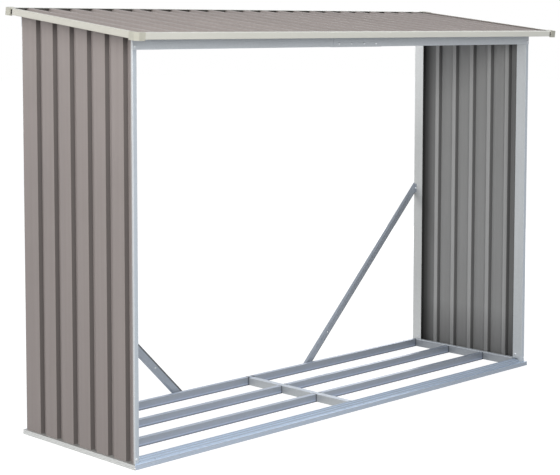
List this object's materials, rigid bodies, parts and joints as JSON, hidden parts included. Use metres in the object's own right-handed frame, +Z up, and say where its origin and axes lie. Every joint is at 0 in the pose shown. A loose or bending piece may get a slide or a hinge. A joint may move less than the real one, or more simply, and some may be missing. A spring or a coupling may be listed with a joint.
{
  "type": "metal log store with an open front and a lean-to roof",
  "caption": "Wide, shallow firewood store: ribbed steel side walls and lean-to roof on a galvanised frame with open front, back and slatted base, and diagonal back braces.",
  "frame": {"origin": "on the ground under the middle of the whole store, roof overhangs included", "axes": "+X to the right seen from the open front, +Y to the back, +Z up"},
  "size_m": [2.408, 0.762, 1.6004],
  "materials": {
    "ribbed_sheet": "satin coil-coated steel, warm grey",
    "galvanised_frame": "dull galvanised steel",
    "edge_trim": "satin off-white paint",
    "corner_cap": "matt off-white plastic"
  },
  "bodies": {
    "root": {"back_brace_left": "galvanised_frame", "back_brace_right": "galvanised_frame", "back_post_left": "galvanised_frame", "back_post_right": "galvanised_frame", "back_rail_joiner": "galvanised_frame", "back_trim_left": "edge_trim", "back_trim_right": "edge_trim", "base_back_rail_left": "galvanised_frame", "base_back_rail_right": "galvanised_frame", "base_front_rail_left": "galvanised_frame", "base_front_rail_right": "galvanised_frame", "base_side_rail_left": "galvanised_frame", "base_side_rail_right": "galvanised_frame", "centre_cross_bar": "galvanised_frame", "corner_cap_back_left": "corner_cap", "corner_cap_back_right": "corner_cap", "corner_cap_front_left": "corner_cap", "corner_cap_front_right": "corner_cap", "floor_joist_back_left": "galvanised_frame", "floor_joist_back_right": "galvanised_frame", "floor_joist_front_left": "galvanised_frame", "floor_joist_front_right": "galvanised_frame", "front_post_left": "galvanised_frame", "front_post_right": "galvanised_frame", "front_rail_joiner": "galvanised_frame", "front_trim_left": "edge_trim", "front_trim_right": "edge_trim", "roof_sheet_1": "ribbed_sheet", "roof_sheet_2": "ribbed_sheet", "roof_sheet_3": "ribbed_sheet", "roof_sheet_4": "ribbed_sheet", "side_wall_left": "ribbed_sheet", "side_wall_right": "ribbed_sheet", "top_back_rail_left": "galvanised_frame", "top_back_rail_right": "galvanised_frame", "top_front_rail_left": "galvanised_frame", "top_front_rail_right": "galvanised_frame", "top_side_rail_left": "galvanised_frame", "top_side_rail_right": "galvanised_frame", "verge_trim_left": "edge_trim", "verge_trim_right": "edge_trim"}
  },
  "joints": []
}
